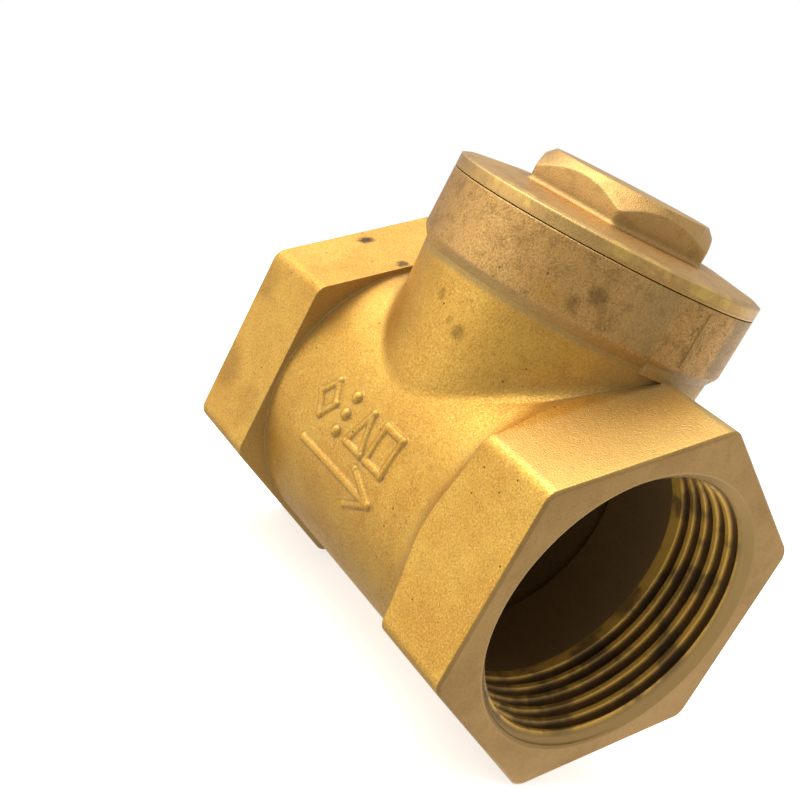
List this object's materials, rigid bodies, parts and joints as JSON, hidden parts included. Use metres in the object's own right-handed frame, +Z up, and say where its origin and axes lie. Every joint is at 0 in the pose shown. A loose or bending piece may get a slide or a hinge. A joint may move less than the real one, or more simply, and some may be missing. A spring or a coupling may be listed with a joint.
{
  "type": "swing check valve",
  "caption": "Brass swing check valve with hexagon female threaded ends, a round screwed bonnet cap and a hinged, rubber-faced clapper.",
  "frame": {"origin": "centre of the inlet end face, on the pipe axis", "axes": "+X along the flow towards the outlet, +Z up the bonnet, +Y to the side with the hinge-pin plug"},
  "size_m": [0.07, 0.0494, 0.0734],
  "materials": {
    "cast_brass": "sand-cast, shot-blasted, satin",
    "cap_brass": "hot-pressed, blasted, turned rim",
    "turned_brass": "machined, semi-bright",
    "stainless": "drawn and turned, bright",
    "seal_rubber": "moulded nitrile, matt",
    "gasket_fibre": "pressed fibre, matt"
  },
  "bodies": {
    "valve_body": {"body": "cast_brass", "hinge_pin": "stainless", "hinge_plug": "turned_brass", "hinge_plug_seal": "gasket_fibre"},
    "arm": {"hinge_arm": "turned_brass"},
    "clapper": {"clapper_disc": "turned_brass", "seat_seal": "seal_rubber", "seal_retainer": "stainless", "seal_screw": "stainless", "arm_washer": "stainless", "arm_nut": "stainless", "cotter_pin": "stainless"},
    "lifted_gasket": {"cap_gasket": "gasket_fibre"},
    "cap": {"bonnet_cap": "cap_brass"}
  },
  "joints": [
    {"name": "clapper_swing", "type": "hinge", "parent": "valve_body", "child": "arm", "pos_m": [0.0245, 0, 0.0204], "axis": [0, -1, 0], "range_deg": [0, 60]},
    {"name": "disc_spin", "type": "hinge", "parent": "arm", "child": "clapper", "pos_m": [0.028, 0, 0], "axis": [1, 0, 0], "continuous": true},
    {"name": "cap_lift", "type": "slide", "parent": "valve_body", "child": "lifted_gasket", "axis": [0, 0, 1], "range_m": [0, 0.009]},
    {"name": "cap_turn", "type": "hinge", "parent": "lifted_gasket", "child": "cap", "pos_m": [0.035, 0, 0.038], "axis": [0, 0, 1], "range_deg": [0, 2160]}
  ],
  "couplings": [
    {"joint": "cap_lift", "follows": "cap_turn", "m_per_rad": 0.00023873}
  ]
}
